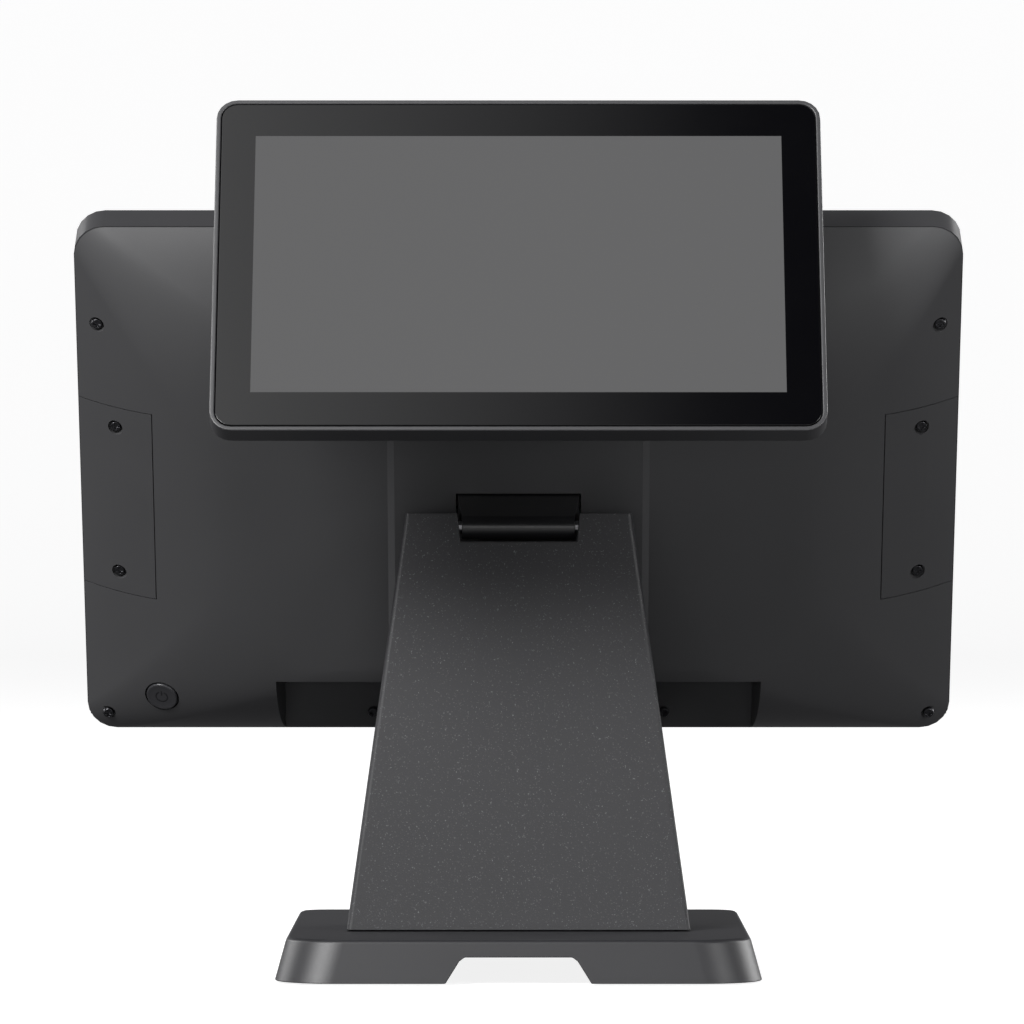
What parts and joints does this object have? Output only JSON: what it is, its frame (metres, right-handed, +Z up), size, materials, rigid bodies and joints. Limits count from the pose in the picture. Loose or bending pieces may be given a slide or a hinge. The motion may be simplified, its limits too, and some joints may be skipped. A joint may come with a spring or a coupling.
{
  "type": "pos touchscreen terminal",
  "caption": "Countertop checkout terminal: a leaning touch display on a tapered neck and heavy base, with a customer display carried on its back.",
  "frame": {"origin": "centre of the bounding box, on the table plane", "axes": "+Z up; +X along the displays' width; +Y towards the cashier, so the customer display faces -Y"},
  "size_m": [0.383, 0.2502, 0.3727],
  "materials": {
    "base_paint": "satin powder coat",
    "neck_paint": "matt speckled powder coat",
    "base_steel": "plain zinc",
    "foot_rubber": "matt",
    "dark_screw": "blackened",
    "hinge_steel": "zinc",
    "frame_plastic": "satin",
    "touch_glass": "black backed",
    "panel_metal": "plain sheet",
    "shell_plastic": "fine grain",
    "cover_plastic": "fine grain",
    "hinge_plastic": "gloss",
    "board_green": "solder resist",
    "sink_aluminium": "as cut",
    "port_plastic": "moulded",
    "port_metal": "plated",
    "button_plastic": "satin",
    "arm_paint": "matt powder coat",
    "second_glass": "black border and blank grey picture"
  },
  "bodies": {
    "stand": {"base_casting": "base_paint", "base_plate": "base_steel", "neck_column": "neck_paint", "neck_rear_cover": "neck_paint", "friction_hinge_left": "hinge_steel", "friction_hinge_right": "hinge_steel", "foot_rear_left": "foot_rubber", "foot_rear_right": "foot_rubber", "foot_front_left": "foot_rubber", "foot_front_right": "foot_rubber", "plate_screw_rear_left": "dark_screw", "plate_screw_rear_right": "dark_screw", "plate_screw_front_left": "dark_screw", "plate_screw_front_right": "dark_screw", "neck_screw_1": "dark_screw", "neck_screw_2": "dark_screw", "neck_screw_3": "dark_screw", "neck_screw_4": "dark_screw"},
    "head": {"side_screw_upper_left": "dark_screw", "side_screw_upper_right": "dark_screw", "side_screw_lower_left": "dark_screw", "side_screw_lower_right": "dark_screw", "case_screw_upper_left": "dark_screw", "case_screw_upper_right": "dark_screw", "case_screw_lower_left": "dark_screw", "case_screw_lower_right": "dark_screw", "case_screw_bay_left": "dark_screw", "case_screw_bay_right": "dark_screw", "hinge_shaft": "hinge_steel", "hinge_bracket": "hinge_steel", "main_front_frame": "frame_plastic", "main_touch_glass": "touch_glass", "main_lcd_panel": "panel_metal", "main_chassis_plate": "panel_metal", "main_rear_cover": "shell_plastic", "side_cover_left": "cover_plastic", "side_cover_right": "cover_plastic", "hinge_cover": "hinge_plastic", "motherboard": "board_green", "power_switch_board": "board_green", "heat_sink": "sink_aluminium", "dc_jack": "port_plastic", "speaker_left": "port_plastic", "speaker_right": "port_plastic", "io_bracket": "port_metal", "drawer_port": "port_metal", "lan_jack": "port_metal", "usb_stack": "port_metal", "video_port": "port_metal", "serial_port": "port_metal", "second_arm": "arm_paint"},
    "button": {"power_button": "button_plastic"},
    "second_display": {"second_frame": "frame_plastic", "second_glass": "second_glass", "second_lcd": "panel_metal", "second_board": "board_green", "second_rear_cover": "shell_plastic", "second_hinge_plate": "arm_paint", "second_hinge_pin": "hinge_steel"}
  },
  "joints": [
    {"name": "head_tilt", "type": "hinge", "parent": "stand", "child": "head", "pos_m": [0, -0.00537, 0.191], "axis": [1, 0, 0], "range_deg": [-25, 35]},
    {"name": "second_tilt", "type": "hinge", "parent": "head", "child": "second_display", "pos_m": [0, -0.06846, 0.2558], "axis": [1, 0, 0], "range_deg": [-12, 25]},
    {"name": "power_press", "type": "slide", "parent": "head", "child": "button", "axis": [0.2248, 0.7654, 0.603], "range_m": [0, 0.001], "stiffness_N_per_m": 600, "springref_m": -0.0006}
  ]
}
